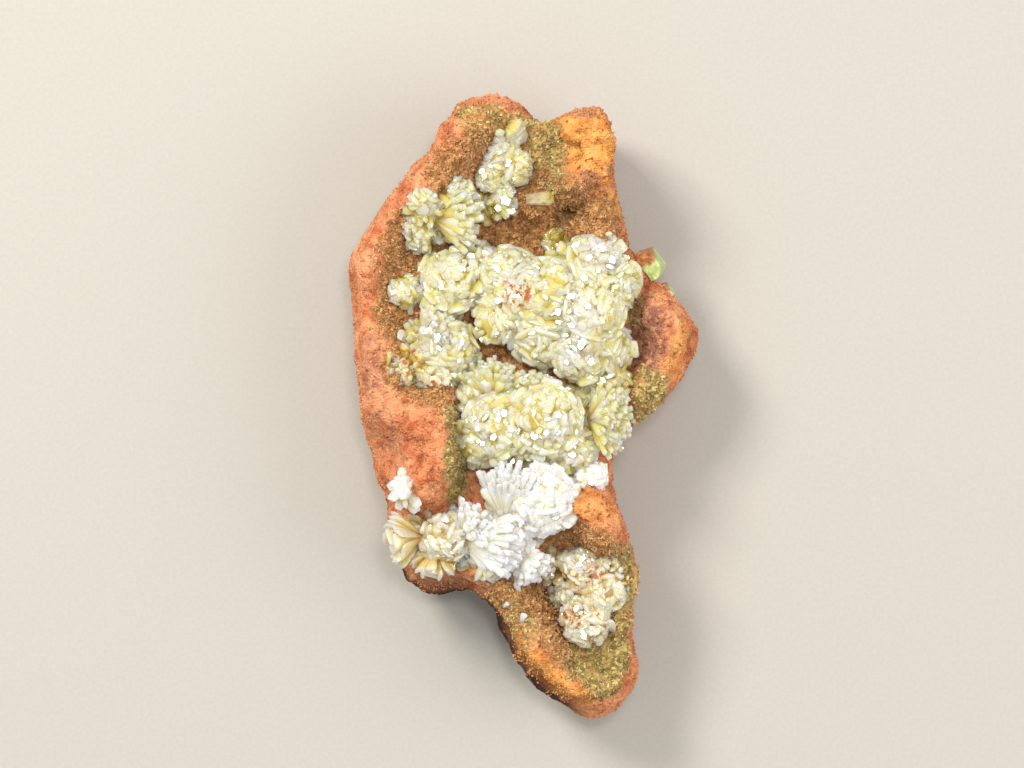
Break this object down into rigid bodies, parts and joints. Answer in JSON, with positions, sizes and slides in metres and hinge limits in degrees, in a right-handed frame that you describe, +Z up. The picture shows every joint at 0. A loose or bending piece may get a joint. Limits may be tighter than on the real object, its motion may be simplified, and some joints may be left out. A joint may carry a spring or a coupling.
{
  "type": "mineral specimen",
  "caption": "Rusty limonite slab with an open vug, lined with sprays and rosettes of flared, glassy, pale yellow-green adamite blades; a natural display specimen.",
  "frame": {"origin": "on the flat back that the slab rests on, under the middle of the whole specimen", "axes": "+Z up, from the broken back to the crystals; +Y along the slab's length, towards its two horns; +X across it, towards the rounded side lobe"},
  "size_m": [0.056, 0.0998, 0.0318],
  "materials": {
    "limonite": "earthy, porous iron oxide, orange to brown, no shine",
    "adamite_pale": "vitreous, clear to milky pale yellow-green crystal faces",
    "adamite_milky": "vitreous, whiter and cloudier crystal faces",
    "adamite_green": "vitreous light green crystal, partly coated with iron oxide"
  },
  "bodies": {
    "root": {"limonite_matrix": "limonite", "adamite_upper_fan": "adamite_pale", "adamite_crown_druse": "adamite_pale", "adamite_central_crust": "adamite_pale", "adamite_lower_spray": "adamite_milky", "adamite_foot_cluster": "adamite_milky", "adamite_left_rosette": "adamite_milky", "adamite_rim_tuft": "adamite_milky", "adamite_yellow_ball": "adamite_pale", "adamite_lying_prism": "adamite_pale", "green_prism_large": "adamite_green", "green_prism_small": "adamite_green"}
  },
  "joints": []
}
